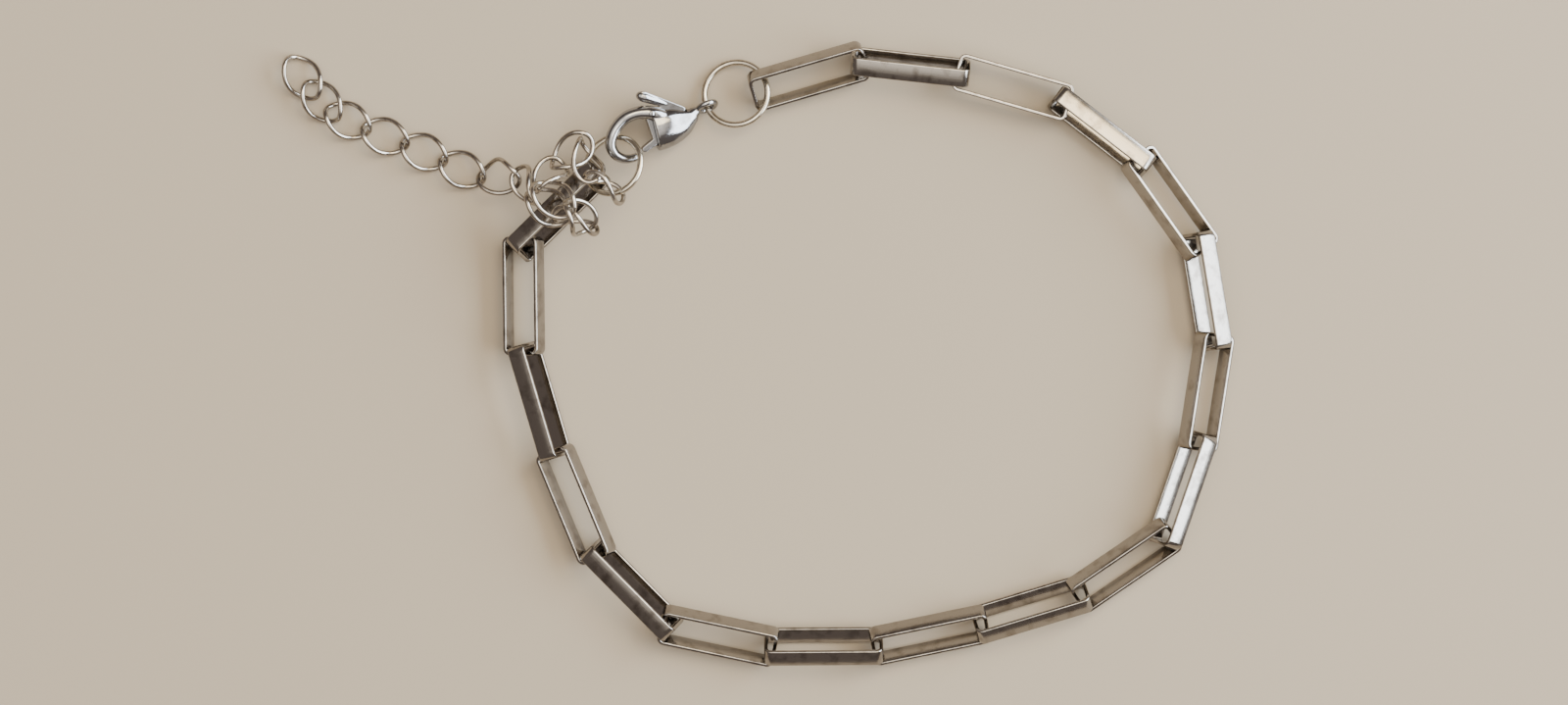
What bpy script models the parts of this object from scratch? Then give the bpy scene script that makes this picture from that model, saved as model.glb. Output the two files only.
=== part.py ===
"""Paperclip chain bracelet of polished steel, lying open on a flat surface.

Eighteen box links of bent strip, two jump rings, a lobster clasp with its sprung lever, and an
extension chain of twisted oval links. Every size and place below is in millimetres and degrees.
X runs to the right and Y away from the viewer who looks down on it, Z is up.
"""

import math
from collections import namedtuple

import bmesh
import bpy
import numpy as np
from mathutils import Matrix, Vector

MM = 0.001
UP = Vector((0, 0, 1))

# Box links: a flat strip bent into a long frame with rounded corners
LINK_LENGTH = 10.3
LINK_WIDTH = 3.33
STRIP_WIDTH = 1.58
STRIP_THICKNESS = 0.32
CORNER_RADIUS = 0.62
CORNER_STEPS = 3
LINK_CLEARANCE = 0.07
LINK_DROP = 0.08
CLOSING_STEPS = 8

# Each box link's heading and roll as it lies, and the play before it meets the next: roll 0 is
# flat, 90 stands on its long edge, and a positive roll leans its face away from the middle
BoxLink = namedtuple("BoxLink", "heading roll play")
BOX_LINKS = [
    BoxLink(16, -30, 0.1),
    BoxLink(-7, 69, 0.3),
    BoxLink(-17, -3, 0.35),
    BoxLink(-39, -75, 0.6),
    BoxLink(-56, 30, 0.65),
    BoxLink(-82, -60, 0.4),
    BoxLink(-100, 36, 0.7),
    BoxLink(-110, -55, 0.1),
    BoxLink(-146, 36, 0.2),
    BoxLink(-163, -46, 0.4),
    BoxLink(-168, 39, 0.1),
    BoxLink(-179, -51, 0.1),
    BoxLink(-191, 30, 0.1),
    BoxLink(-224, -66, 0.2),
    BoxLink(-246, 30, 0),
    BoxLink(-252, -64, 0),
    BoxLink(-268, 25, 0),
    BoxLink(-315, -65, 0),
]

# Jump rings of round wire, one on each side of the clasp
RING_WIRE = 0.55
CLASP_RING_DIAMETER = 6.1
HOOK_RING_DIAMETER = 5.65
RING_SLACK = 0.85
RING_STEPS = 16
WIRE_SIDES = 6
# Slopes of each ring's plane along X and Y, and the angles round it where its neighbours hang
CLASP_RING_SLOPE = (0.17, -0.2)
CLASP_RING_EYE_ANGLE = 204
CLASP_RING_LINK_ANGLE = 10
HOOK_RING_SLOPE = (0.42, -0.3)
HOOK_RING_HOOK_ANGLE = 70
HOOK_RING_LINK_ANGLE = 212

# Lobster clasp, in its own frame: x from the eye to the hook's nose, y to the gate side, z up
CLASP_PLACE = (-3.8, 22.0, 0.88)
CLASP_HEADING = 197
CLASP_PITCH = 15
CLASP_ROLL = 14
CLASP_LENGTH = 10.7
CLASP_WIDTH = 4.4
CLASP_THICKNESS = 2.3
EYE_DIAMETER = 2.1
EYE_WIRE = 0.52
EYE_LEAN = 58
EYE_LIFT = 0.1
EYE_STEPS = 16
EYE_SIDES = 8
BODY_SIDES = 16
HOOK_SIDES = 12
RING_IN_HOOK = (0.72, 0.16)

# Sections of the clasp: x as a share of its length, y and half width of its width, and half
# thickness of its thickness
Section = namedtuple("Section", "x y half_width half_thickness")
BODY_SECTIONS = [
    Section(0.080, 0.02, 0.080, 0.15),
    Section(0.110, 0.05, 0.120, 0.20),
    Section(0.150, 0.10, 0.190, 0.27),
    Section(0.225, 0.15, 0.305, 0.38),
    Section(0.315, 0.175, 0.380, 0.47),
    Section(0.400, 0.18, 0.410, 0.50),
    Section(0.475, 0.18, 0.410, 0.48),
]
HOOK_SECTIONS = [
    Section(0.365, -0.02, 0.170, 0.37),
    Section(0.430, -0.14, 0.165, 0.40),
    Section(0.495, -0.22, 0.150, 0.37),
    Section(0.580, -0.265, 0.130, 0.30),
    Section(0.673, -0.245, 0.125, 0.26),
    Section(0.757, -0.14, 0.122, 0.245),
    Section(0.822, 0.02, 0.118, 0.235),
    Section(0.855, 0.21, 0.112, 0.22),
    Section(0.837, 0.40, 0.104, 0.20),
    Section(0.785, 0.525, 0.095, 0.185),
    Section(0.720, 0.575, 0.086, 0.165),
    Section(0.665, 0.575, 0.077, 0.145),
    Section(0.648, 0.572, 0.050, 0.09),
]

# Lever: round-ended bars from one knuckle to the next, in the clasp's frame, about its pin; x is
# a share of the clasp's length, y and radius are shares of its width
LEVER_THICKNESS = 0.64
LEVER_CLEARANCE = 0.14
LEVER_OPEN = 16
PIN_DIAMETER = 0.46
PIN_LENGTH = 0.74
PIN_STEPS = 14
PIN_CLEARANCE = 0.05
Knuckle = namedtuple("Knuckle", "x y radius")
HUB = Knuckle(0.477, -0.205, 0.1136)
ELBOW = Knuckle(0.472, 0.365, 0.0727)
GATE_TIP = Knuckle(0.589, 0.466, 0.0568)
TAIL = Knuckle(0.206, -0.095, 0.0500)
THUMB = Knuckle(0.500, -0.550, 0.1045)
LEVER_BARS = [(HUB, ELBOW), (ELBOW, GATE_TIP), (HUB, TAIL), (TAIL, THUMB)]
BAR_END_STEPS = 6
SLOT_STEPS = 72
SWEEP_STEPS = 5
BAR_SHARES = 10

# Extension chain: round wire bent into ovals, each twisted so that it lies flat in the chain
OVAL_LENGTH = 4.6
OVAL_WIDTH = 3.35
OVAL_WIRE = 0.42
OVAL_TWIST = 45
OVAL_STEPS = 16

# Where the oval links meet, from the hook ring to the free end, and each link's roll
Meeting = namedtuple("Meeting", "x y z roll")
EXTENSION_ROUTE = [
    Meeting(-11.60, 14.50, 3.90, 0),
    Meeting(-13.70, 15.80, 5.10, 100),
    Meeting(-14.40, 18.70, 3.90, -45),
    Meeting(-16.50, 17.10, 4.10, -25),
    Meeting(-18.10, 14.80, 6.60, -40),
    Meeting(-15.60, 13.00, 7.20, 10),
    Meeting(-13.80, 11.50, 4.40, 205),
    Meeting(-16.20, 12.50, 5.00, 80),
    Meeting(-18.60, 14.00, 4.90, -5),
    Meeting(-20.00, 16.00, 3.20, 55),
    Meeting(-23.40, 15.80, 0.75, 0),
    Meeting(-26.60, 17.30, 0.75, 0),
    Meeting(-29.95, 18.80, 0.75, 0),
    Meeting(-33.50, 20.10, 0.75, 0),
    Meeting(-36.30, 21.50, 0.80, 0),
    Meeting(-38.00, 23.40, 0.85, 0),
    Meeting(-39.60, 25.60, 0.75, 0),
]
SETTLE_STEPS = 150
SETTLE_SAMPLES = 28
SETTLE_CLEARANCE = 0.12
# Shares of the push, of the twist and of the pull back that act in one settling step
SETTLE_PUSH = 0.25
SETTLE_TWIST = 0.12
SETTLE_RETURN = 0.01
MOST_SHIFT = 0.05
MOST_TWIST = 0.03


def new_material(name, colour, roughness):
    material = bpy.data.materials.new(name)
    material.use_nodes = True
    shader = material.node_tree.nodes["Principled BSDF"]
    shader.inputs["Base Color"].default_value = (*colour, 1)
    shader.inputs["Metallic"].default_value = 1
    shader.inputs["Roughness"].default_value = roughness
    return material


def clear_scene():
    for obj in list(bpy.data.objects):
        bpy.data.objects.remove(obj)


def mesh_from_rings(name, rings, closed):
    """A mesh through rings of points, joined end to end or capped at both ends."""
    sides = len(rings[0])
    points = [Vector(point) * MM for ring in rings for point in ring]
    faces = []
    for number in range(len(rings) if closed else len(rings) - 1):
        here = number * sides
        there = (number + 1) % len(rings) * sides
        for side in range(sides):
            after = (side + 1) % sides
            faces.append((here + side, here + after, there + after, there + side))
    if not closed:
        last = (len(rings) - 1) * sides
        faces.append(tuple(range(sides)))
        faces.append(tuple(range(last, last + sides)))
    return finished_mesh(name, points, faces)


def finished_mesh(name, points, faces, smooth_below=50):
    mesh = bpy.data.meshes.new(name)
    mesh.from_pydata(points, [], faces)
    shell = bmesh.new()
    shell.from_mesh(mesh)
    bmesh.ops.recalc_face_normals(shell, faces=shell.faces)
    shell.to_mesh(mesh)
    shell.free()
    mesh.shade_smooth()
    mesh.set_sharp_from_angle(angle=math.radians(smooth_below))
    return mesh


def new_object(name, mesh, material=None, parent=None, place=None):
    obj = bpy.data.objects.new(name, mesh)
    bpy.context.scene.collection.objects.link(obj)
    if material and not mesh.materials:
        mesh.materials.append(material)
    if parent:
        obj.parent = parent
    if place:
        obj.matrix_local = place
    return obj


def new_empty(name, parent=None, place=None):
    return new_object(name, None, parent=parent, place=place)


def new_helper(name, mesh, parent):
    """A cutter or a shape to be joined, which isn't a piece of its own."""
    helper = new_object(name, mesh, parent=parent)
    helper.hide_render = True
    helper.display_type = "WIRE"
    return helper


def combine(obj, other, operation):
    boolean = obj.modifiers.new(f"{operation.lower()} {other.name}", "BOOLEAN")
    boolean.operation = operation
    boolean.solver = "EXACT"
    boolean.object = other


def placement(centre, along, normal):
    """The matrix of a piece with its x along, its z normal and its origin at centre."""
    across = normal.cross(along)
    turn = Matrix((along, across, normal)).transposed().to_4x4()
    return Matrix.Translation(Vector(centre) * MM) @ turn


def rolled_axes(heading, slope, roll):
    """Directions along and square to a link's face, for a link that runs flat at roll 0."""
    heading, roll = math.radians(heading), math.radians(roll)
    level = Vector((math.cos(heading), math.sin(heading), 0))
    left = Vector((-math.sin(heading), math.cos(heading), 0))
    along = (level + UP * slope).normalized()
    upward = along.cross(left)
    return along, (upward * math.cos(roll) + left * math.sin(roll)).normalized()


def wire_ring(point, tangent, outward, radius, sides):
    """Points round a wire at one place along it."""
    outward = (outward - tangent * outward.dot(tangent)).normalized()
    binormal = tangent.cross(outward)
    return [
        point + (outward * math.cos(turn) + binormal * math.sin(turn)) * radius
        for turn in (math.tau * side / sides for side in range(sides))
    ]


def wire_loop_mesh(name, path, radius, sides):
    """A closed wire through the points of a path round the origin."""
    count = len(path)
    rings = []
    for number, point in enumerate(path):
        tangent = (path[(number + 1) % count] - path[number - 1]).normalized()
        rings.append(wire_ring(point, tangent, point.normalized(), radius, sides))
    return mesh_from_rings(name, rings, closed=True)


# Box links


def box_link_mesh():
    inner_radius = CORNER_RADIUS - STRIP_THICKNESS
    half = STRIP_WIDTH / 2
    rings = []
    for corner, (right, far) in enumerate([(1, 1), (-1, 1), (-1, -1), (1, -1)]):
        x = right * (LINK_LENGTH / 2 - CORNER_RADIUS)
        y = far * (LINK_WIDTH / 2 - CORNER_RADIUS)
        for step in range(CORNER_STEPS + 1):
            turn = math.radians(90) * (corner + step / CORNER_STEPS)
            out = Vector((math.cos(turn), math.sin(turn), 0))
            outer = Vector((x, y, 0)) + out * CORNER_RADIUS
            inner = Vector((x, y, 0)) + out * inner_radius
            rings.append([outer - UP * half, outer + UP * half, inner + UP * half, inner - UP * half])
    return mesh_from_rings("box_link", rings, closed=True)


def rest_height(roll):
    """Height of a rolled link's middle when its lowest corner touches the table."""
    roll = math.radians(roll)
    return LINK_WIDTH / 2 * abs(math.sin(roll)) + STRIP_WIDTH / 2 * abs(math.cos(roll))


def end_heights(number):
    """Heights of a box link's two ends: it rests on the table or hangs on its neighbours."""
    own = rest_height(BOX_LINKS[number].roll)
    heights = [own, own]
    for end, neighbour in enumerate((number - 1, number + 1)):
        if 0 <= neighbour < len(BOX_LINKS):
            heights[end] = max(own, rest_height(BOX_LINKS[neighbour].roll) - LINK_DROP)
    return heights


def bar_gap(axes, next_axes):
    """Room between the crossed end bars of two links that meet at an angle."""
    middle = (axes[0] + next_axes[0]).normalized()
    reach = 0
    for along, normal in (axes, next_axes):
        reach += abs(normal.dot(middle)) + abs(normal.cross(along).dot(middle))
    askew = abs(axes[1].dot(next_axes[1]))
    crossing = STRIP_WIDTH / 2 * (1 + askew) / math.sqrt(1 - askew**2)
    return LINK_CLEARANCE + crossing * reach


def end_gaps(axes):
    """Room between each meeting place and the inner faces of the bars there, ring to ring."""
    ring_gap = RING_WIRE / 2 + RING_SLACK
    gaps = [ring_gap]
    for link, here, following in zip(BOX_LINKS, axes, axes[1:]):
        gaps.append((bar_gap(here, following) + link.play) / 2)
    return gaps + [ring_gap]


def lay_chain(start, turns):
    """Axes and end points of every box link, each turned a little from its own heading."""
    inner_length = LINK_LENGTH - 2 * STRIP_THICKNESS
    axes = []
    for number, (link, turn) in enumerate(zip(BOX_LINKS, turns)):
        first, last = end_heights(number)
        axes.append(rolled_axes(link.heading + turn, (last - first) / inner_length, link.roll))
    gaps = end_gaps(axes)
    ends = []
    point = Vector(start)
    for number, (along, _) in enumerate(axes):
        length = inner_length - gaps[number] - gaps[number + 1]
        level = Vector((along.x, along.y, 0)).normalized()
        ends.append((point, point + level * length))
        point = ends[-1][1]
    return axes, ends


def close_chain(start, target):
    """The chain that ends at the target, by the smallest turns of its links that reach it."""
    turns = np.zeros(len(BOX_LINKS))
    for _ in range(CLOSING_STEPS):
        ends = lay_chain(start, turns)[1]
        swings = [UP.cross(last - first) for first, last in ends]
        missing = Vector(target) - ends[-1][1]
        by_turn = np.array([swing[:2] for swing in swings]).T
        turns += np.degrees(np.linalg.lstsq(by_turn, np.array(missing[:2]), rcond=None)[0])
    return lay_chain(start, turns)


def box_link_places(start, target):
    axes, ends = close_chain(start, target)
    gaps = end_gaps(axes)
    places = []
    for number, ((along, normal), (first, last)) in enumerate(zip(axes, ends)):
        before, after = gaps[number:number + 2]
        heights = end_heights(number)
        centre = (first + last) / 2
        centre.z = sum(heights) / 2
        centre += Vector((along.x, along.y, 0)) * (after - before) / 2
        places.append(placement(centre, along, normal))
    return places


# Jump rings


def ring_axes(slope):
    right = Vector((1, 0, slope[0])).normalized()
    normal = Vector((-slope[0], -slope[1], 1)).normalized()
    return right, normal.cross(right), normal


def ring_spoke(slope, diameter, angle):
    """From a ring's centre to the middle of its wire, at an angle round it."""
    right, ahead, _ = ring_axes(slope)
    angle = math.radians(angle)
    return (right * math.cos(angle) + ahead * math.sin(angle)) * (diameter - RING_WIRE) / 2


def ring_mesh(name, diameter):
    radius = (diameter - RING_WIRE) / 2
    path = [
        Vector((math.cos(turn), math.sin(turn), 0)) * radius
        for turn in (math.tau * step / RING_STEPS for step in range(RING_STEPS))
    ]
    return wire_loop_mesh(name, path, RING_WIRE / 2, WIRE_SIDES)


# Clasp


def clasp_matrix():
    turn = (
        Matrix.Rotation(math.radians(CLASP_HEADING), 4, "Z")
        @ Matrix.Rotation(math.radians(-CLASP_PITCH), 4, "Y")
        @ Matrix.Rotation(math.radians(-CLASP_ROLL), 4, "X")
    )
    return Matrix.Translation(Vector(CLASP_PLACE) * MM) @ turn


def in_clasp(x, y):
    """A point of the clasp's middle plane from its shares of length and width."""
    return Vector((x * CLASP_LENGTH, y * CLASP_WIDTH, 0))


def from_clasp(point):
    """A point of the clasp's frame in the bracelet's frame."""
    return clasp_matrix() @ (point * MM) / MM


def lofted_mesh(name, sections, sides):
    """A body through oval sections square to its path."""
    middles = [in_clasp(section.x, section.y) for section in sections]
    rings = []
    for number, section in enumerate(sections):
        ahead = middles[min(number + 1, len(middles) - 1)] - middles[max(number - 1, 0)]
        side = UP.cross(ahead).normalized() * section.half_width * CLASP_WIDTH
        rise = UP * section.half_thickness * CLASP_THICKNESS
        rings.append([
            middles[number] + side * math.cos(turn) + rise * math.sin(turn)
            for turn in (math.tau * step / sides for step in range(sides))
        ])
    return mesh_from_rings(name, rings, closed=False)


def eye_mesh():
    lean = Matrix.Rotation(math.radians(-EYE_LEAN), 3, "X")
    radius = (EYE_DIAMETER - EYE_WIRE) / 2
    path = [
        lean @ Vector((math.cos(turn), math.sin(turn), 0)) * radius
        for turn in (math.tau * step / EYE_STEPS for step in range(EYE_STEPS))
    ]
    mesh = wire_loop_mesh("eye", path, EYE_WIRE / 2, EYE_SIDES)
    mesh.transform(Matrix.Translation(UP * EYE_LIFT * MM))
    return mesh


def prism_mesh(name, outline, height):
    """A flat outline with thickness, centred on the middle plane."""
    rise = UP * height / 2
    return mesh_from_rings(name, [[p - rise for p in outline], [p + rise for p in outline]], False)


def disc_outline(centre, radius, steps):
    return [
        centre + Vector((math.cos(turn), math.sin(turn), 0)) * radius
        for turn in (math.tau * step / steps for step in range(steps))
    ]


def knuckle_radii(start, end):
    return start.radius * CLASP_WIDTH, end.radius * CLASP_WIDTH


def bar_outline(start, end):
    """Outline of a round-ended bar between two knuckles of the lever."""
    first, last = in_clasp(start.x, start.y), in_clasp(end.x, end.y)
    first_radius, last_radius = knuckle_radii(start, end)
    gap = last - first
    heading = math.atan2(gap.y, gap.x)
    spread = math.acos((first_radius - last_radius) / gap.length)
    outline = []
    for centre, radius, begin, finish in (
        (last, last_radius, heading - spread, heading + spread),
        (first, first_radius, heading + spread, heading - spread + math.tau),
    ):
        for step in range(BAR_END_STEPS + 1):
            turn = begin + (finish - begin) * step / BAR_END_STEPS
            outline.append(centre + Vector((math.cos(turn), math.sin(turn), 0)) * radius)
    return outline


def slot_outline():
    """Outline round the pin of all that the lever reaches from shut to open, with clearance."""
    pin = in_clasp(HUB.x, HUB.y)
    discs = []
    for start, end in LEVER_BARS:
        first_radius, last_radius = knuckle_radii(start, end)
        for share in (step / BAR_SHARES for step in range(BAR_SHARES + 1)):
            spot = in_clasp(start.x, start.y).lerp(in_clasp(end.x, end.y), share) - pin
            radius = first_radius + (last_radius - first_radius) * share + LEVER_CLEARANCE
            for step in range(SWEEP_STEPS):
                turn = math.radians(-LEVER_OPEN * step / (SWEEP_STEPS - 1))
                discs.append((Matrix.Rotation(turn, 3, "Z") @ spot, radius))
    outline = []
    for step in range(SLOT_STEPS):
        turn = math.tau * step / SLOT_STEPS
        ray = Vector((math.cos(turn), math.sin(turn), 0))
        reach = HUB.radius * CLASP_WIDTH + LEVER_CLEARANCE
        for spot, radius in discs:
            off = abs(ray.x * spot.y - ray.y * spot.x)
            if off < radius:
                reach = max(reach, ray.dot(spot) + math.sqrt(radius**2 - off**2))
        outline.append(pin + ray * reach)
    return outline


def add_clasp(parent, steel):
    clasp = new_empty("clasp", parent, clasp_matrix())
    body = new_object("clasp_body", lofted_mesh("body", BODY_SECTIONS, BODY_SIDES), steel, clasp)
    hook = new_helper("hook", lofted_mesh("hook", HOOK_SECTIONS, HOOK_SIDES), clasp)
    eye = new_helper("eye", eye_mesh(), clasp)
    slot_height = LEVER_THICKNESS + 2 * LEVER_CLEARANCE
    slot = new_helper("slot", prism_mesh("slot", slot_outline(), slot_height), clasp)
    pin_middle = in_clasp(HUB.x, HUB.y)
    hole = disc_outline(pin_middle, PIN_DIAMETER / 2 + PIN_CLEARANCE, PIN_STEPS)
    pin_hole = new_helper("pin_hole", prism_mesh("pin_hole", hole, 2 * CLASP_THICKNESS), clasp)
    combine(body, hook, "UNION")
    combine(body, eye, "UNION")
    combine(body, slot, "DIFFERENCE")
    combine(body, pin_hole, "DIFFERENCE")

    bars = [prism_mesh("lever_bar", bar_outline(*bar), LEVER_THICKNESS) for bar in LEVER_BARS]
    for mesh in bars:
        mesh.transform(Matrix.Translation(-pin_middle * MM))
    hinge = Matrix.Translation(pin_middle * MM)
    lever = new_object("clasp_lever", bars[0], steel, clasp, hinge)
    for number, mesh in enumerate(bars[1:]):
        bar = new_helper(f"lever_bar_{number}", mesh, lever)
        combine(lever, bar, "UNION")
    lever_hole = new_helper("lever_hole", pin_hole.data.copy(), lever)
    lever_hole.data.transform(Matrix.Translation(-pin_middle * MM))
    combine(lever, lever_hole, "DIFFERENCE")

    pin = disc_outline(Vector((0, 0, 0)), PIN_DIAMETER / 2, PIN_STEPS)
    pin_mesh = prism_mesh("clasp_pin", pin, PIN_LENGTH * CLASP_THICKNESS)
    new_object("clasp_pin", pin_mesh, steel, clasp, hinge)
    return clasp


# Extension chain


def oval_points(count):
    """Points along the middle of an oval link's wire, twisted along its length."""
    half_length = (OVAL_LENGTH - OVAL_WIRE) / 2
    half_width = (OVAL_WIDTH - OVAL_WIRE) / 2
    points = []
    for turn in (math.tau * step / count for step in range(count)):
        twist = math.radians(OVAL_TWIST) * math.cos(turn)
        across = half_width * math.sin(turn)
        spot = (half_length * math.cos(turn), across * math.cos(twist), across * math.sin(twist))
        points.append(Vector(spot))
    return points


def laid_ovals():
    """Centre and turn of each oval link between the two points where it meets its neighbours."""
    centres, turns = [], []
    for first, last in zip(EXTENSION_ROUTE, EXTENSION_ROUTE[1:]):
        start, end = Vector(first[:3]), Vector(last[:3])
        run = end - start
        level = math.hypot(run.x, run.y)
        heading = math.degrees(math.atan2(run.y, run.x))
        along, normal = rolled_axes(heading, run.z / max(level, 0.1), last.roll)
        centres.append((start + end) / 2)
        turns.append(np.array([along, normal.cross(along), normal]).T)
    return np.array(centres), np.array(turns)


def turned(vector):
    """The rotation matrices of small rotation vectors, one for each row."""
    angle = np.linalg.norm(vector, axis=1)[:, None, None] + 1e-12
    x, y, z = (vector / angle[:, :, 0]).T
    zero = np.zeros_like(x)
    cross = np.array([[zero, -z, y], [z, zero, -x], [-y, x, zero]]).transpose(2, 0, 1)
    return np.eye(3) + np.sin(angle) * cross + (1 - np.cos(angle)) * cross @ cross


def settle_ovals(fixed_points, fixed_radii):
    """Lets the oval links ease apart, and off the fixed pieces and the table, without passing through."""
    centres, turns = laid_ovals()
    laid = centres.copy()
    near = np.linalg.norm(fixed_points[:, None] - centres[None], axis=2).min(axis=1) < OVAL_LENGTH
    fixed_points, fixed_radii = fixed_points[near], fixed_radii[near]
    shape = np.array(oval_points(SETTLE_SAMPLES))
    count = len(centres)
    owner = np.repeat(np.arange(count), SETTLE_SAMPLES)
    other = owner[:, None] != owner[None, :]
    for _ in range(SETTLE_STEPS):
        arms = np.einsum("nij,kj->nki", turns, shape)
        points = (arms + centres[:, None]).reshape(-1, 3)
        push = np.zeros_like(points)
        apart = points[:, None] - points[None]
        distance = np.linalg.norm(apart, axis=2) + 1e-9
        excess = np.where(other, np.maximum(OVAL_WIRE + SETTLE_CLEARANCE - distance, 0), 0)
        push += (apart * (excess / distance)[:, :, None]).sum(axis=1)
        apart = points[:, None] - fixed_points[None]
        distance = np.linalg.norm(apart, axis=2) + 1e-9
        room = OVAL_WIRE / 2 + fixed_radii + SETTLE_CLEARANCE
        excess = np.maximum(room[None] - distance, 0)
        push += (apart * (excess / distance)[:, :, None]).sum(axis=1)
        push[:, 2] += np.maximum(OVAL_WIRE / 2 - points[:, 2], 0)
        push = push.reshape(count, SETTLE_SAMPLES, 3)
        shift = np.clip(SETTLE_PUSH * push.sum(axis=1), -MOST_SHIFT, MOST_SHIFT)
        centres += shift + SETTLE_RETURN * (laid - centres)
        torque = np.cross(arms, push).sum(axis=1)
        turns = turned(np.clip(SETTLE_TWIST * torque, -MOST_TWIST, MOST_TWIST)) @ turns
    return centres, turns


def strip_points(place):
    """Points spread over a box link's strip, in the bracelet's frame."""
    half_length = (LINK_LENGTH - STRIP_THICKNESS) / 2
    half_width = (LINK_WIDTH - STRIP_THICKNESS) / 2
    step = STRIP_THICKNESS
    outline = []
    for side in (-1, 1):
        outline += [(x, side * half_width) for x in np.arange(-half_length, half_length, step)]
        outline += [(side * half_length, y) for y in np.arange(-half_width, half_width, step)]
    reach = (STRIP_WIDTH - STRIP_THICKNESS) / 2
    rises = np.arange(-reach, reach + step, step)
    points = [place @ (Vector((x, y, rise)) * MM) / MM for x, y in outline for rise in rises]
    return [tuple(point) for point in points]


def hard_neighbours(link_places, hook_ring):
    """Points and radii of the pieces that the oval links lie against."""
    points, radii = [], []
    for place in link_places:
        strip = strip_points(place)
        points += strip
        radii += [STRIP_THICKNESS / 2] * len(strip)
    for angle in range(0, 360, 6):
        spoke = ring_spoke(HOOK_RING_SLOPE, HOOK_RING_DIAMETER, angle)
        points.append(tuple(hook_ring + spoke))
        radii.append(RING_WIRE / 2)
    for section in HOOK_SECTIONS[3:]:
        points.append(tuple(from_clasp(in_clasp(section.x, section.y))))
        radii.append(section.half_width * CLASP_WIDTH)
    return np.array(points), np.array(radii)


def centre_on_table(bracelet):
    """Moves the whole bracelet so that its middle is over the origin and its lowest point at 0."""
    bpy.context.view_layer.update()
    graph = bpy.context.evaluated_depsgraph_get()
    corners = []
    for obj in bpy.context.scene.objects:
        if obj.type == "MESH" and not obj.hide_render:
            solid = obj.evaluated_get(graph)
            corners += [solid.matrix_world @ vertex.co for vertex in solid.data.vertices]
    corners = np.array(corners)
    low, high = corners.min(axis=0), corners.max(axis=0)
    bracelet.location = (-(low[0] + high[0]) / 2, -(low[1] + high[1]) / 2, -low[2])


def main():
    clear_scene()
    steel = new_material("polished_steel", (0.62, 0.60, 0.57), 0.16)
    ring_steel = new_material("ring_steel", (0.66, 0.64, 0.60), 0.18)
    clasp_steel = new_material("clasp_steel", (0.64, 0.63, 0.63), 0.12)
    wire_steel = new_material("wire_steel", (0.60, 0.58, 0.55), 0.2)
    bracelet = new_empty("bracelet")
    add_clasp(bracelet, clasp_steel)

    eye = from_clasp(UP * EYE_LIFT)
    clasp_ring = eye - ring_spoke(CLASP_RING_SLOPE, CLASP_RING_DIAMETER, CLASP_RING_EYE_ANGLE)
    start = clasp_ring + ring_spoke(CLASP_RING_SLOPE, CLASP_RING_DIAMETER, CLASP_RING_LINK_ANGLE)
    held = from_clasp(in_clasp(*RING_IN_HOOK))
    hook_ring = held - ring_spoke(HOOK_RING_SLOPE, HOOK_RING_DIAMETER, HOOK_RING_HOOK_ANGLE)
    target = hook_ring + ring_spoke(HOOK_RING_SLOPE, HOOK_RING_DIAMETER, HOOK_RING_LINK_ANGLE)
    for name, diameter, centre, slope in (
        ("clasp_ring", CLASP_RING_DIAMETER, clasp_ring, CLASP_RING_SLOPE),
        ("hook_ring", HOOK_RING_DIAMETER, hook_ring, HOOK_RING_SLOPE),
    ):
        right, _, normal = ring_axes(slope)
        new_object(name, ring_mesh(name, diameter), ring_steel, bracelet, placement(centre, right, normal))

    link_mesh = box_link_mesh()
    start.z = target.z = 0
    places = box_link_places(start, target)
    for number, place in enumerate(places):
        new_object(f"box_link_{number + 1:02d}", link_mesh, steel, bracelet, place)

    centres, turns = settle_ovals(*hard_neighbours(places[-2:], hook_ring))
    oval_mesh = wire_loop_mesh("oval_link", oval_points(OVAL_STEPS), OVAL_WIRE / 2, WIRE_SIDES)
    for number, (centre, turn) in enumerate(zip(centres, turns)):
        along, normal = Vector(turn[:, 0]), Vector(turn[:, 2])
        place = placement(centre, along.normalized(), normal.normalized())
        new_object(f"ext_link_{number + 1:02d}", oval_mesh, wire_steel, bracelet, place)
    centre_on_table(bracelet)


main()
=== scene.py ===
# Looks of the paperclip chain bracelet: fine polished links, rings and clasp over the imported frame
import math

import bmesh
import bpy
import numpy as np
from mathutils import Matrix, Vector


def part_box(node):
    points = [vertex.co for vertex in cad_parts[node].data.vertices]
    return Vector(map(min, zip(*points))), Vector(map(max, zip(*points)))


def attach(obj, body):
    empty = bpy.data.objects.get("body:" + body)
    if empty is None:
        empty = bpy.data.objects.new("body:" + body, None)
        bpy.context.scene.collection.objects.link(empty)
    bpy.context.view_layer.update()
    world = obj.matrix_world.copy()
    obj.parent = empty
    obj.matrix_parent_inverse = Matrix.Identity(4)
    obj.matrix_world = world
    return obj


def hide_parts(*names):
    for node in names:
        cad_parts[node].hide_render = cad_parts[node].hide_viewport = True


mm = 0.001

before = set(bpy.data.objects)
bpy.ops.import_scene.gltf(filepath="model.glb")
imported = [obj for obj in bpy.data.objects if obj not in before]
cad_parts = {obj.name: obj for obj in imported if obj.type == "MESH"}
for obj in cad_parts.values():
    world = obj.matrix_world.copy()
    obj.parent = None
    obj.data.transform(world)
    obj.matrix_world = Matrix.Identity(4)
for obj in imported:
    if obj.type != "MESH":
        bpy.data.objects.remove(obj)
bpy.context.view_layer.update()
print("frame loaded,", len(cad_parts), "nodes")


# Small helpers


def nodePoints(name):
    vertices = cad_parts[name].data.vertices
    return np.unique(np.round([vertex.co[:] for vertex in vertices], 7), axis=0)


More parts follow.
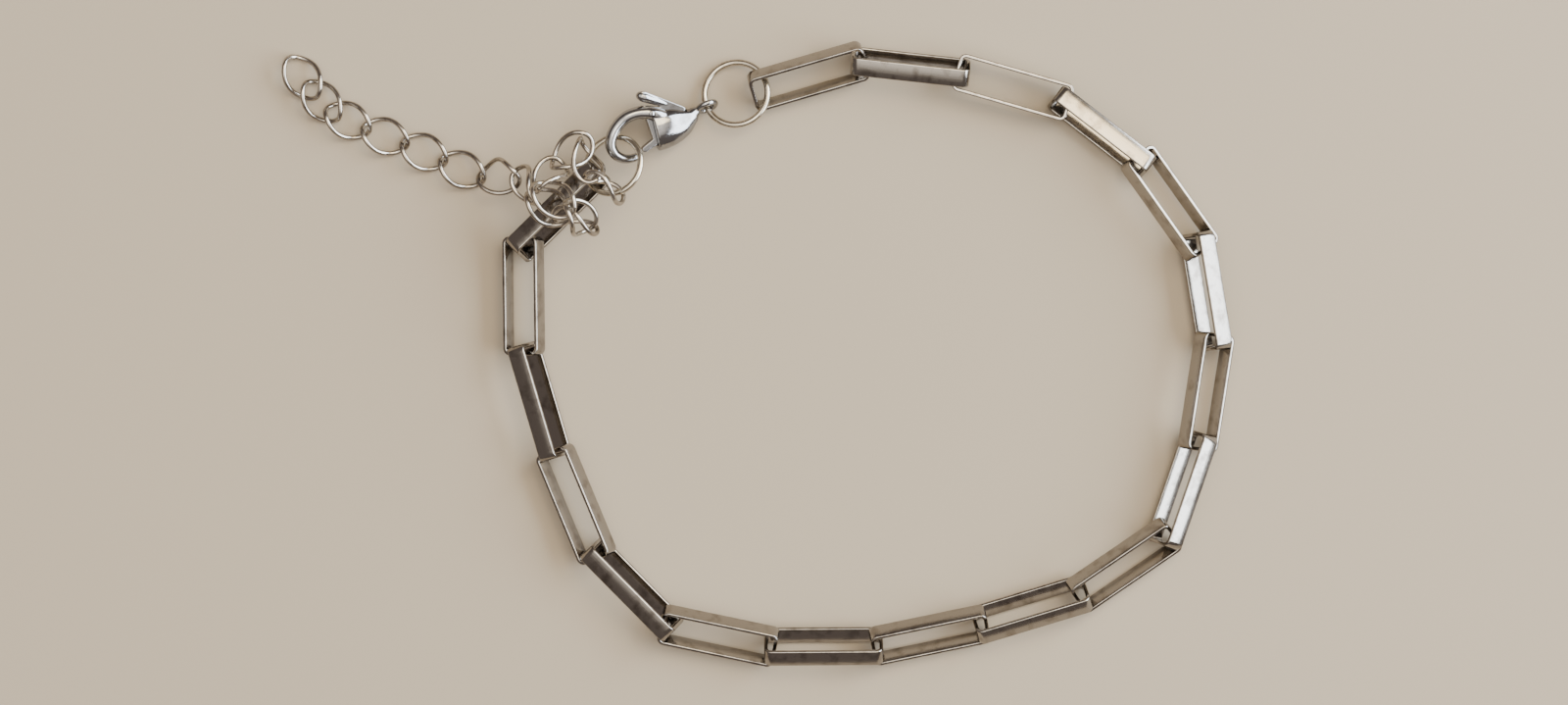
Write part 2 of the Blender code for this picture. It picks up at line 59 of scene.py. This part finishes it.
# Middle of a node and its own axes, the longest first
def nodeFrame(name):
    points = nodePoints(name)
    middle = points.mean(axis=0)
    spread, axes = np.linalg.eigh(np.cov((points - middle).T))
    axes = axes[:, np.argsort(-spread)]
    if axes[2, 2] < 0:
        axes[:, 2] *= -1
    axes[:, 1] = np.cross(axes[:, 2], axes[:, 0])
    return Vector(middle), Matrix(axes.tolist())


def newObject(name, mesh, material=None):
    made = bpy.data.objects.new(name, mesh)
    bpy.context.scene.collection.objects.link(made)
    if material:
        mesh.materials.clear()
        mesh.materials.append(material)
    return made


# The object with its modifiers worked into its mesh
def asPlainMesh(made, name):
    graph = bpy.context.evaluated_depsgraph_get()
    mesh = bpy.data.meshes.new_from_object(made.evaluated_get(graph))
    mesh.name = name
    made.modifiers.clear()
    made.data = mesh
    return made


def finishPiece(made, body, nodes):
    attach(made, body)
    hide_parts(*nodes)
    print(made.name, len(made.data.polygons), "faces")
    return made


# Materials


wearLook = {
    "toneShift": (0.031, 0.017, 0.023),  # moves the pattern on from link to link
    "scratchScale": (500, 9000, 9000), "scratchDetail": 3,  # long along a piece, fine across it
    "waveScale": 520, "waveDetail": 2, "waveHeight": 1.4,
    "grimeScale": 900, "grimeDetail": 4, "grimeFrom": 0.5, "grimeTo": 0.75,
    "scratchRoughness": 0.12,
    "bumpDistance": 0.01,  # millimetres
}


# Fine scratches along a piece, soft waves in the polish and a faint tarnish, from a piece's own place
def newWearGroup(look):
    group = bpy.data.node_groups.new("polishWear", "ShaderNodeTree")
    for name, kind in (
        ("Place", "NodeSocketVector"), ("Tone", "NodeSocketFloat"), ("Base", "NodeSocketColor"),
        ("Tarnish", "NodeSocketColor"), ("Roughness", "NodeSocketFloat"),
    ):
        group.interface.new_socket(name, in_out="INPUT", socket_type=kind)
    for name, kind in (
        ("Color", "NodeSocketColor"), ("Roughness", "NodeSocketFloat"), ("Height", "NodeSocketFloat"),
    ):
        group.interface.new_socket(name, in_out="OUTPUT", socket_type=kind)
    nodes, links = group.nodes, group.links
    inside = nodes.new("NodeGroupInput")
    outside = nodes.new("NodeGroupOutput")

    toneShift = nodes.new("ShaderNodeVectorMath")
    toneShift.operation = "MULTIPLY"
    toneShift.inputs[1].default_value = look["toneShift"]
    links.new(inside.outputs["Tone"], toneShift.inputs[0])
    shifted = nodes.new("ShaderNodeVectorMath")
    shifted.operation = "ADD"
    links.new(inside.outputs["Place"], shifted.inputs[0])
    links.new(toneShift.outputs[0], shifted.inputs[1])

    stretched = nodes.new("ShaderNodeMapping")
    stretched.inputs["Scale"].default_value = look["scratchScale"]
    links.new(shifted.outputs[0], stretched.inputs["Vector"])
    scratches = nodes.new("ShaderNodeTexNoise")
    scratches.inputs["Scale"].default_value = 1
    scratches.inputs["Detail"].default_value = look["scratchDetail"]
    links.new(stretched.outputs[0], scratches.inputs["Vector"])

    waves = nodes.new("ShaderNodeTexNoise")
    waves.inputs["Scale"].default_value = look["waveScale"]
    waves.inputs["Detail"].default_value = look["waveDetail"]
    links.new(shifted.outputs[0], waves.inputs["Vector"])

    grime = nodes.new("ShaderNodeTexNoise")
    grime.inputs["Scale"].default_value = look["grimeScale"]
    grime.inputs["Detail"].default_value = look["grimeDetail"]
    links.new(shifted.outputs[0], grime.inputs["Vector"])
    grimeShare = nodes.new("ShaderNodeMapRange")
    grimeShare.inputs["From Min"].default_value = look["grimeFrom"]
    grimeShare.inputs["From Max"].default_value = look["grimeTo"]
    links.new(grime.outputs[0], grimeShare.inputs["Value"])

    tinted = nodes.new("ShaderNodeMix")
    tinted.data_type = "RGBA"
    links.new(grimeShare.outputs[0], tinted.inputs["Factor"])
    links.new(inside.outputs["Base"], tinted.inputs["A"])
    links.new(inside.outputs["Tarnish"], tinted.inputs["B"])
    links.new(tinted.outputs["Result"], outside.inputs["Color"])

    rougher = nodes.new("ShaderNodeMath")
    rougher.operation = "MULTIPLY_ADD"
    rougher.inputs[1].default_value = look["scratchRoughness"]
    links.new(scratches.outputs[0], rougher.inputs[0])
    links.new(inside.outputs["Roughness"], rougher.inputs[2])
    links.new(rougher.outputs[0], outside.inputs["Roughness"])

    waveHeight = nodes.new("ShaderNodeMath")
    waveHeight.operation = "MULTIPLY_ADD"
    waveHeight.inputs[1].default_value = look["waveHeight"]
    links.new(waves.outputs[0], waveHeight.inputs[0])
    links.new(scratches.outputs[0], waveHeight.inputs[2])
    links.new(waveHeight.outputs[0], outside.inputs["Height"])
    return group


wearGroup = newWearGroup(wearLook)


# Polished steel; look holds its colour, tarnish, roughness and how deep its wear is
def newSteel(name, look):
    material = bpy.data.materials.new(name)
    material.use_nodes = True
    nodes, links = material.node_tree.nodes, material.node_tree.links
    shader = nodes["Principled BSDF"]
    shader.inputs["Metallic"].default_value = 1
    place = nodes.new("ShaderNodeAttribute")
    place.attribute_name = "ownPlace"
    tone = nodes.new("ShaderNodeAttribute")
    tone.attribute_name = "tone"
    wear = nodes.new("ShaderNodeGroup")
    wear.node_tree = wearGroup
    wear.inputs["Base"].default_value = (*look["colour"], 1)
    wear.inputs["Tarnish"].default_value = (*look["tarnish"], 1)
    wear.inputs["Roughness"].default_value = look["roughness"]
    links.new(place.outputs["Vector"], wear.inputs["Place"])
    links.new(tone.outputs["Fac"], wear.inputs["Tone"])
    links.new(wear.outputs["Color"], shader.inputs["Base Color"])
    links.new(wear.outputs["Roughness"], shader.inputs["Roughness"])
    bump = nodes.new("ShaderNodeBump")
    bump.inputs["Strength"].default_value = look["bump"]
    bump.inputs["Distance"].default_value = wearLook["bumpDistance"] * mm
    links.new(wear.outputs["Height"], bump.inputs["Height"])
    links.new(bump.outputs[0], shader.inputs["Normal"])
    return material


# Chains by geometry nodes: one link's shape, set on a point for every link


# A geometry tree with named size inputs, and its input and output nodes
def newLinkTree(name, sizes):
    tree = bpy.data.node_groups.new(name, "GeometryNodeTree")
    tree.interface.new_socket("Geometry", in_out="INPUT", socket_type="NodeSocketGeometry")
    for label in sizes:
        kind = "NodeSocketInt" if isinstance(sizes[label], int) else "NodeSocketFloat"
        tree.interface.new_socket(label, in_out="INPUT", socket_type=kind)
    tree.interface.new_socket("Material", in_out="INPUT", socket_type="NodeSocketMaterial")
    tree.interface.new_socket("Geometry", in_out="OUTPUT", socket_type="NodeSocketGeometry")
    return tree, tree.nodes.new("NodeGroupInput"), tree.nodes.new("NodeGroupOutput")


# Sweeps the profile along the link's path and sets a copy on every point, turned by its attribute
def setOnPlaces(tree, inside, outside, linkCurve, profile):
    nodes, links = tree.nodes, tree.links
    sweep = nodes.new("GeometryNodeCurveToMesh")
    links.new(linkCurve, sweep.inputs["Curve"])
    links.new(profile, sweep.inputs["Profile Curve"])
    place = nodes.new("GeometryNodeInputPosition")
    store = nodes.new("GeometryNodeStoreNamedAttribute")
    store.data_type = "FLOAT_VECTOR"
    store.inputs["Name"].default_value = "ownPlace"
    links.new(sweep.outputs[0], store.inputs["Geometry"])
    links.new(place.outputs[0], store.inputs["Value"])
    turn = nodes.new("GeometryNodeInputNamedAttribute")
    turn.data_type = "QUATERNION"
    turn.inputs["Name"].default_value = "turn"
    spread = nodes.new("GeometryNodeInstanceOnPoints")
    links.new(inside.outputs["Geometry"], spread.inputs["Points"])
    links.new(store.outputs[0], spread.inputs["Instance"])
    links.new(turn.outputs["Attribute"], spread.inputs["Rotation"])
    realize = nodes.new("GeometryNodeRealizeInstances")
    links.new(spread.outputs[0], realize.inputs[0])
    smooth = nodes.new("GeometryNodeSetShadeSmooth")
    links.new(realize.outputs[0], smooth.inputs[0])
    paint = nodes.new("GeometryNodeSetMaterial")
    links.new(smooth.outputs[0], paint.inputs["Geometry"])
    links.new(inside.outputs["Material"], paint.inputs["Material"])
    links.new(paint.outputs[0], outside.inputs["Geometry"])


# A flat strip bent into a long frame with rounded corners and softened edges
def newStripTree(sizes):
    tree, inside, outside = newLinkTree("stripLink", sizes)
    nodes, links = tree.nodes, tree.links
    rectangle = nodes.new("GeometryNodeCurvePrimitiveQuadrilateral")
    links.new(inside.outputs["Length"], rectangle.inputs["Width"])
    links.new(inside.outputs["Width"], rectangle.inputs["Height"])
    rounded = nodes.new("GeometryNodeFilletCurve")
    rounded.mode = "POLY"
    links.new(rectangle.outputs[0], rounded.inputs["Curve"])
    links.new(inside.outputs["Corner"], rounded.inputs["Radius"])
    links.new(inside.outputs["Corner steps"], rounded.inputs["Count"])
    upright = nodes.new("GeometryNodeSetCurveNormal")
    upright.mode = "Z_UP"
    links.new(rounded.outputs[0], upright.inputs["Curve"])
    section = nodes.new("GeometryNodeCurvePrimitiveQuadrilateral")
    links.new(inside.outputs["Thickness"], section.inputs["Width"])
    links.new(inside.outputs["Strip"], section.inputs["Height"])
    softened = nodes.new("GeometryNodeFilletCurve")
    softened.mode = "POLY"
    links.new(inside.outputs["Edge steps"], softened.inputs["Count"])
    links.new(section.outputs[0], softened.inputs["Curve"])
    links.new(inside.outputs["Edge"], softened.inputs["Radius"])
    setOnPlaces(tree, inside, outside, upright.outputs[0], softened.outputs[0])
    return tree


# Round wire bent into an oval that is twisted along its length, or into a ring when it isn't
def newWireTree(sizes):
    tree, inside, outside = newLinkTree("wireLink", sizes)
    nodes, links = tree.nodes, tree.links

    def combined(operation, first, second):
        node = nodes.new("ShaderNodeMath")
        node.operation = operation
        for socket, value in zip(node.inputs, (first, second)):
            if isinstance(value, (int, float)):
                socket.default_value = value
            else:
                links.new(value, socket)
        return node.outputs[0]

    circle = nodes.new("GeometryNodeCurvePrimitiveCircle")
    links.new(inside.outputs["Steps"], circle.inputs["Resolution"])
    circle.inputs["Radius"].default_value = 1
    place = nodes.new("GeometryNodeInputPosition")
    split = nodes.new("ShaderNodeSeparateXYZ")
    links.new(place.outputs[0], split.inputs[0])
    angle = combined("MULTIPLY", split.outputs["X"], inside.outputs["Twist"])
    across = combined("MULTIPLY", split.outputs["Y"], inside.outputs["Half width"])
    joined = nodes.new("ShaderNodeCombineXYZ")
    links.new(combined("MULTIPLY", split.outputs["X"], inside.outputs["Half length"]), joined.inputs["X"])
    links.new(combined("MULTIPLY", across, combined("COSINE", angle, 0)), joined.inputs["Y"])
    links.new(combined("MULTIPLY", across, combined("SINE", angle, 0)), joined.inputs["Z"])
    bent = nodes.new("GeometryNodeSetPosition")
    links.new(circle.outputs[0], bent.inputs["Geometry"])
    links.new(joined.outputs[0], bent.inputs["Position"])
    wire = nodes.new("GeometryNodeCurvePrimitiveCircle")
    links.new(inside.outputs["Wire sides"], wire.inputs["Resolution"])
    links.new(inside.outputs["Wire radius"], wire.inputs["Radius"])
    setOnPlaces(tree, inside, outside, bent.outputs[0], wire.outputs[0])
    return tree


# One mesh of all the links that these nodes stand for
def newChain(name, tree, sizes, material, nodeNames):
    places = [nodeFrame(node) for node in nodeNames]
    mesh = bpy.data.meshes.new(name)
    mesh.from_pydata([middle for middle, _ in places], [], [])
    mesh.attributes.new("turn", "QUATERNION", "POINT")
    mesh.attributes.new("tone", "FLOAT", "POINT")
    for number, (_, axes) in enumerate(places):
        mesh.attributes["turn"].data[number].value = axes.to_quaternion()
        mesh.attributes["tone"].data[number].value = number
    made = newObject(name, mesh)
    modifier = made.modifiers.new("links", "NODES")
    modifier.node_group = tree
    sockets = {item.name: item.identifier for item in tree.interface.items_tree if item.in_out == "INPUT"}
    for label, value in sizes.items():
        modifier[sockets[label]] = value
    modifier[sockets["Material"]] = material
    return asPlainMesh(made, name)


linkSteel = newSteel("linkSteel", {
    "colour": (0.32, 0.297, 0.273), "tarnish": (0.17, 0.148, 0.13), "roughness": 0.09, "bump": 0.3,
})
ringSteel = newSteel("ringSteel", {
    "colour": (0.52, 0.47, 0.39), "tarnish": (0.30, 0.25, 0.18), "roughness": 0.12, "bump": 0.3,
})
wireSteel = newSteel("wireSteel", {
    "colour": (0.41, 0.375, 0.335), "tarnish": (0.22, 0.19, 0.16), "roughness": 0.12, "bump": 0.3,
})
claspSteel = newSteel("claspSteel", {
    "colour": (0.32, 0.32, 0.33), "tarnish": (0.20, 0.19, 0.19), "roughness": 0.07, "bump": 0.25,
})

# Box links, in millimetres
boxLink = {
    "length": 10.3, "width": 3.33, "strip": 1.58, "thickness": 0.32,
    "cornerRadius": 0.62, "cornerSteps": 7, "edge": 0.09, "edgeSteps": 3,
}
stripSizes = {
    "Length": (boxLink["length"] - boxLink["thickness"]) * mm,
    "Width": (boxLink["width"] - boxLink["thickness"]) * mm,
    "Corner": (boxLink["cornerRadius"] - boxLink["thickness"] / 2) * mm,
    "Corner steps": boxLink["cornerSteps"], "Thickness": boxLink["thickness"] * mm,
    "Strip": boxLink["strip"] * mm, "Edge": boxLink["edge"] * mm, "Edge steps": boxLink["edgeSteps"],
}
boxNodes = [f"box_link_{number:02d}" for number in range(1, 19)]
boxLinks = newChain("boxLinks", newStripTree(stripSizes), stripSizes, linkSteel, boxNodes)
finishPiece(boxLinks, "bracelet", boxNodes)

# Extension chain, in millimetres
oval = {
    "length": 4.6, "width": 3.35, "wire": 0.42, "twist": 45, "steps": 64, "wireSides": 14,
}
ovalSizes = {
    "Half length": (oval["length"] - oval["wire"]) / 2 * mm,
    "Half width": (oval["width"] - oval["wire"]) / 2 * mm,
    "Twist": math.radians(oval["twist"]), "Wire radius": oval["wire"] / 2 * mm, "Steps": oval["steps"],
    "Wire sides": oval["wireSides"],
}
wireTree = newWireTree(ovalSizes)
ovalNodes = [f"ext_link_{number:02d}" for number in range(1, 17)]
ovalLinks = newChain("ovalLinks", wireTree, ovalSizes, wireSteel, ovalNodes)
finishPiece(ovalLinks, "bracelet", ovalNodes)

# Jump rings, in millimetres
jumpRings = {
    "diameters": {"clasp_ring": 6.1, "hook_ring": 5.65}, "wire": 0.55, "steps": 96, "wireSides": 14,
}
for node, diameter in jumpRings["diameters"].items():
    radius = (diameter - jumpRings["wire"]) / 2 * mm
    ringSizes = {
        "Half length": radius, "Half width": radius, "Twist": 0.0,
        "Wire radius": jumpRings["wire"] / 2 * mm, "Steps": jumpRings["steps"],
        "Wire sides": jumpRings["wireSides"],
    }
    ring = newChain(f"{node}Fine", wireTree, ringSizes, ringSteel, [node])
    finishPiece(ring, "bracelet", [node])


# Clasp, in millimetres and degrees, in its own frame: x from the eye to the nose, y to the gate side

clasp = {
    "length": 10.7, "width": 4.4, "thickness": 2.3, "heading": 197, "pitch": 15, "roll": 14,
    "hub": (0.477, -0.205),  # place of the pin; x and y are shares of the length and width
    "body": [  # x, y, half width, half height
        (0.080, 0.02, 0.080, 0.15), (0.110, 0.05, 0.120, 0.20), (0.150, 0.10, 0.190, 0.27),
        (0.225, 0.15, 0.305, 0.38), (0.315, 0.175, 0.380, 0.47), (0.400, 0.18, 0.410, 0.50),
        (0.475, 0.18, 0.410, 0.48),
    ],
    "hook": [  # x, y, half width, half height
        (0.365, -0.02, 0.170, 0.37), (0.430, -0.14, 0.165, 0.40), (0.495, -0.22, 0.150, 0.37),
        (0.580, -0.265, 0.130, 0.30), (0.673, -0.245, 0.125, 0.26), (0.757, -0.14, 0.122, 0.245),
        (0.822, 0.02, 0.118, 0.235), (0.855, 0.21, 0.112, 0.22), (0.837, 0.40, 0.104, 0.20),
        (0.785, 0.525, 0.095, 0.185), (0.720, 0.575, 0.086, 0.165), (0.665, 0.575, 0.077, 0.145),
        (0.648, 0.572, 0.050, 0.09),
    ],
    "eyeDiameter": 2.1, "eyeWire": 0.52, "eyeLean": 58, "eyeLift": 0.1,
    "loftSteps": 6, "loftSides": 36, "voxel": 0.05, "smoothing": 16, "sharpAngle": 40,
    "slotHeight": 0.92, "leverOpen": 16, "leverGap": 0.14,
    "pinRadius": 0.23, "pinHole": 0.28, "pinLength": 1.7, "pinEdge": 0.05, "pinEdgeSteps": 2,
    "cutterHeight": 6,
}
lever = {
    "thickness": 0.64,
    "bars": [  # x, y, radius at each end
        ((0.477, -0.205, 0.50), (0.472, 0.365, 0.32)),
        ((0.472, 0.365, 0.32), (0.589, 0.466, 0.25)),
        ((0.477, -0.205, 0.50), (0.206, -0.095, 0.22)),
        ((0.206, -0.095, 0.22), (0.500, -0.550, 0.46)),
    ],
    "knob": [  # share of the way along the thumb, half width, half height
        (0.25, 0.20, 0.28), (0.55, 0.30, 0.38), (0.80, 0.40, 0.47), (0.96, 0.46, 0.52),
        (1.06, 0.42, 0.47), (1.13, 0.30, 0.34), (1.16, 0.14, 0.16),
    ],
    "knobSides": 24, "voxel": 0.035, "smoothing": 12,
}


def inClasp(x, y):
    return Vector((x * clasp["length"], y * clasp["width"], 0))


# The clasp's frame, found from the middle of its pin
def claspMatrix():
    turn = (
        Matrix.Rotation(math.radians(clasp["heading"]), 4, "Z")
        @ Matrix.Rotation(math.radians(-clasp["pitch"]), 4, "Y")
        @ Matrix.Rotation(math.radians(-clasp["roll"]), 4, "X")
    )
    low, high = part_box("clasp_pin")
    pinMiddle = (low + high) / 2
    return Matrix.Translation(pinMiddle - turn.to_3x3() @ (inClasp(*clasp["hub"]) * mm)) @ turn


# A smooth curve of rows through the given ones
def smoothRows(rows, steps):
    rows = np.array(rows)
    ends = np.vstack([2 * rows[0] - rows[1], rows, 2 * rows[-1] - rows[-2]])
    eased = []
    for number in range(1, len(ends) - 2):
        before, here, there, after = ends[number - 1:number + 3]
        for share in np.arange(steps) / steps:
            eased.append(0.5 * (
                2 * here + (there - before) * share
                + (2 * before - 5 * here + 4 * there - after) * share**2
                + (3 * here - before - 3 * there + after) * share**3
            ))
    eased.append(rows[-1])
    return eased


# Adds a skin through rings of points to a bmesh, capped at both ends when it is open
def addTube(shell, rings, closed):
    made = [[shell.verts.new(Vector(point) * mm) for point in ring] for ring in rings]
    pairs = zip(made, made[1:] + made[:1]) if closed else zip(made, made[1:])
    for first, second in pairs:
        for side in range(len(first)):
            after = (side + 1) % len(first)
            shell.faces.new((first[side], first[after], second[after], second[side]))
    if not closed:
        shell.faces.new(made[0][::-1])
        shell.faces.new(made[-1])


# Adds a body whose rows give a middle, half a width and half a height as shares of the clasp's sizes
def addLoft(shell, rows):
    rows = smoothRows(rows, clasp["loftSteps"])
    sides = clasp["loftSides"]
    middles = [inClasp(row[0], row[1]) for row in rows]
    rings = []
    for number, row in enumerate(rows):
        ahead = middles[min(number + 1, len(middles) - 1)] - middles[max(number - 1, 0)]
        side = Vector((0, 0, 1)).cross(ahead).normalized() * row[2] * clasp["width"]
        rise = Vector((0, 0, 1)) * row[3] * clasp["thickness"]
        turns = [math.tau * step / sides for step in range(sides)]
        rings.append([middles[number] + side * math.cos(turn) + rise * math.sin(turn) for turn in turns])
    addTube(shell, rings, closed=False)


def addEye(shell, steps=64, sides=20):
    lean = Matrix.Rotation(math.radians(-clasp["eyeLean"]), 3, "X")
    radius = (clasp["eyeDiameter"] - clasp["eyeWire"]) / 2
    rings = []
    for turn in (math.tau * step / steps for step in range(steps)):
        out = Vector((math.cos(turn), math.sin(turn), 0))
        ring = []
        for side in (math.tau * step / sides for step in range(sides)):
            local = out * (radius + math.cos(side) * clasp["eyeWire"] / 2)
            local.z = math.sin(side) * clasp["eyeWire"] / 2
            ring.append(lean @ local + Vector((0, 0, clasp["eyeLift"])))
        rings.append(ring)
    addTube(shell, rings, closed=True)


def discOutline(middle, radius, steps=32):
    turns = [math.tau * step / steps for step in range(steps)]
    return [middle + Vector((math.cos(turn), math.sin(turn), 0)) * radius for turn in turns]


def barOutline(start, end, steps=12):
    first, last = inClasp(*start[:2]), inClasp(*end[:2])
    gap = last - first
    heading = math.atan2(gap.y, gap.x)
    spread = math.acos((start[2] - end[2]) / gap.length)
    outline = []
    for middle, radius, begin, finish in (
        (last, end[2], heading - spread, heading + spread),
        (first, start[2], heading + spread, heading - spread + math.tau),
    ):
        for step in range(steps + 1):
            turn = begin + (finish - begin) * step / steps
            outline.append(middle + Vector((math.cos(turn), math.sin(turn), 0)) * radius)
    return outline


def addPrism(shell, outline, height):
    rise = Vector((0, 0, height / 2))
    addTube(shell, [[point - rise for point in outline], [point + rise for point in outline]], closed=False)


# All that the lever reaches from shut to open, with a gap
def slotOutline(steps=96, spots=12, angles=5):
    pin = inClasp(*clasp["hub"])
    discs = []
    for start, end in lever["bars"]:
        for share in np.linspace(0, 1, spots):
            spot = inClasp(*start[:2]).lerp(inClasp(*end[:2]), share) - pin
            radius = start[2] + (end[2] - start[2]) * share + clasp["leverGap"]
            for angle in np.linspace(0, -clasp["leverOpen"], angles):
                discs.append((Matrix.Rotation(math.radians(angle), 3, "Z") @ spot, radius))
    outline = []
    for turn in (math.tau * step / steps for step in range(steps)):
        ray = Vector((math.cos(turn), math.sin(turn), 0))
        reach = lever["bars"][0][0][2] + clasp["leverGap"]
        for spot, radius in discs:
            off = abs(ray.x * spot.y - ray.y * spot.x)
            if off < radius:
                reach = max(reach, ray.dot(spot) + math.sqrt(radius**2 - off**2))
        outline.append(pin + ray * reach)
    return outline


# A mesh made by adding shapes to an empty bmesh, with its faces turned outward
def meshOf(name, add):
    shell = bmesh.new()
    add(shell)
    bmesh.ops.recalc_face_normals(shell, faces=shell.faces)
    mesh = bpy.data.meshes.new(name)
    shell.to_mesh(mesh)
    shell.free()
    return mesh


# Overlapping shapes fused into one skin with soft edges
def fusedObject(name, mesh, voxel, smoothing):
    made = newObject(name, mesh)
    fuse = made.modifiers.new("fuse", "REMESH")
    fuse.mode = "VOXEL"
    fuse.voxel_size = voxel * mm
    ease = made.modifiers.new("ease", "SMOOTH")
    ease.factor = 0.5
    ease.iterations = smoothing
    return asPlainMesh(made, name)


def cutWith(made, cutterMesh):
    cutter = newObject(cutterMesh.name, cutterMesh)
    boolean = made.modifiers.new("cut", "BOOLEAN")
    boolean.operation = "DIFFERENCE"
    boolean.solver = "EXACT"
    boolean.object = cutter
    asPlainMesh(made, made.name)
    bpy.data.objects.remove(cutter)


def finishClasp(made, body, nodes, matrix):
    mesh = made.data
    own = mesh.attributes.new("ownPlace", "FLOAT_VECTOR", "POINT")
    places = np.array([vertex.co[:] for vertex in mesh.vertices], np.float32)
    own.data.foreach_set("vector", places.ravel())
    mesh.shade_smooth()
    mesh.set_sharp_from_angle(angle=math.radians(clasp["sharpAngle"]))
    mesh.transform(matrix)
    mesh.materials.clear()
    mesh.materials.append(claspSteel)
    return finishPiece(made, body, nodes)


def addBody(shell):
    addLoft(shell, clasp["body"])
    addLoft(shell, clasp["hook"])
    addEye(shell)


def addLever(shell):
    for bar in lever["bars"]:
        addPrism(shell, barOutline(*bar), lever["thickness"])
    tail, thumb = (inClasp(*end[:2]) for end in lever["bars"][-1])
    ahead = (thumb - tail).normalized()
    side = Vector((0, 0, 1)).cross(ahead)
    turns = [math.tau * step / lever["knobSides"] for step in range(lever["knobSides"])]
    rings = []
    for along, halfWidth, halfHeight in lever["knob"]:
        middle = tail + (thumb - tail) * along
        rings.append([
            middle + side * halfWidth * math.cos(turn) + Vector((0, 0, halfHeight * math.sin(turn)))
            for turn in turns
        ])
    addTube(shell, rings, closed=False)


claspPlace = claspMatrix()
pinMiddle = inClasp(*clasp["hub"])
pinBore = discOutline(pinMiddle, clasp["pinHole"])
bodyMesh = meshOf("claspBody", addBody)
body = fusedObject("claspBodyFine", bodyMesh, clasp["voxel"], clasp["smoothing"])
cutWith(body, meshOf("slot", lambda shell: addPrism(shell, slotOutline(), clasp["slotHeight"])))
cutWith(body, meshOf("pinHole", lambda shell: addPrism(shell, pinBore, clasp["cutterHeight"])))
finishClasp(body, "bracelet", ["clasp_body"], claspPlace)

leverMesh = meshOf("claspLever", addLever)
leverFine = fusedObject("claspLeverFine", leverMesh, lever["voxel"], lever["smoothing"])
cutWith(leverFine, meshOf("leverHole", lambda shell: addPrism(shell, pinBore, clasp["cutterHeight"])))
finishClasp(leverFine, "lever", ["clasp_lever"], claspPlace)

pinOutline = discOutline(pinMiddle, clasp["pinRadius"])
pinMesh = meshOf("claspPinFine", lambda shell: addPrism(shell, pinOutline, clasp["pinLength"]))
pinFine = newObject("claspPinFine", pinMesh)
soften = pinFine.modifiers.new("soften", "BEVEL")
soften.width = clasp["pinEdge"] * mm
soften.segments = clasp["pinEdgeSteps"]
soften.limit_method = "ANGLE"
asPlainMesh(pinFine, "claspPinFine")
finishClasp(pinFine, "bracelet", ["clasp_pin"], claspPlace)

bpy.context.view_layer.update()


# Floor, light and camera, in metres

stage = {
    "floorColour": (0.35, 0.29, 0.22), "floorRoughness": 0.75, "floorReach": 3,
    "lights": {  # place, size, watts, colour
        "window": ((0.62, 0.10, 0.36), (1.0, 0.46), 17.5, (0.86, 0.94, 1.0)),
        "lamp": ((0.24, 0.30, 0.66), (0.34, 0.34), 2.9, (1.0, 0.82, 0.50)),
        "ceiling": ((0.01, 0.0, 1.2), (0.42, 0.42), 2.6, (1.0, 0.93, 0.78)),
    },
    "roomLow": (0.66, (0.10, 0.084, 0.074)),  # height, colour
    "roomHigh": (0.97, (1.0, 0.93, 0.82)),
    "roomStrength": 2.5,
    "lens": 160, "sensor": 36, "clipStart": 0.01, "cameraPlace": (0.00224, 0.00013, 0.605),
}

floorPaint = bpy.data.materials.new("floorPaint")
floorPaint.use_nodes = True
floorShader = floorPaint.node_tree.nodes["Principled BSDF"]
floorShader.inputs["Base Color"].default_value = (*stage["floorColour"], 1)
floorShader.inputs["Roughness"].default_value = stage["floorRoughness"]
floorMesh = bpy.data.meshes.new("floor")
reach = stage["floorReach"]
corners = [(-reach, -reach, 0), (reach, -reach, 0), (reach, reach, 0), (-reach, reach, 0)]
floorMesh.from_pydata(corners, [], [(0, 1, 2, 3)])
floor = newObject("floor", floorMesh, floorPaint)


def addLight(name, place, size, watts, colour):
    light = bpy.data.lights.new(name, "AREA")
    light.shape = "RECTANGLE"
    light.size, light.size_y = size
    light.energy = watts
    light.color = colour
    made = bpy.data.objects.new(name, light)
    bpy.context.scene.collection.objects.link(made)
    made.location = place
    made.rotation_euler = (-Vector(place)).to_track_quat("-Z", "Y").to_euler()


for name, (place, size, watts, colour) in stage["lights"].items():
    addLight(name, place, size, watts, colour)

world = bpy.data.worlds.new("room")
bpy.context.scene.world = world
world.use_nodes = True
nodes, links = world.node_tree.nodes, world.node_tree.links
direction = nodes.new("ShaderNodeTexCoord")
height = nodes.new("ShaderNodeSeparateXYZ")
links.new(direction.outputs["Generated"], height.inputs[0])
rise = nodes.new("ShaderNodeValToRGB")
rise.color_ramp.interpolation = "EASE"
for element, (position, colour) in zip(rise.color_ramp.elements, (stage["roomLow"], stage["roomHigh"])):
    element.position = position
    element.color = (*colour, 1)
links.new(height.outputs["Z"], rise.inputs[0])
links.new(rise.outputs[0], nodes["Background"].inputs["Color"])
nodes["Background"].inputs["Strength"].default_value = stage["roomStrength"]

camera = bpy.data.cameras.new("camera")
camera.lens = stage["lens"]
camera.sensor_width = stage["sensor"]
camera.clip_start = stage["clipStart"]
cameraObject = bpy.data.objects.new("camera", camera)
bpy.context.scene.collection.objects.link(cameraObject)
cameraObject.location = stage["cameraPlace"]
bpy.context.scene.camera = cameraObject
print("stage set")
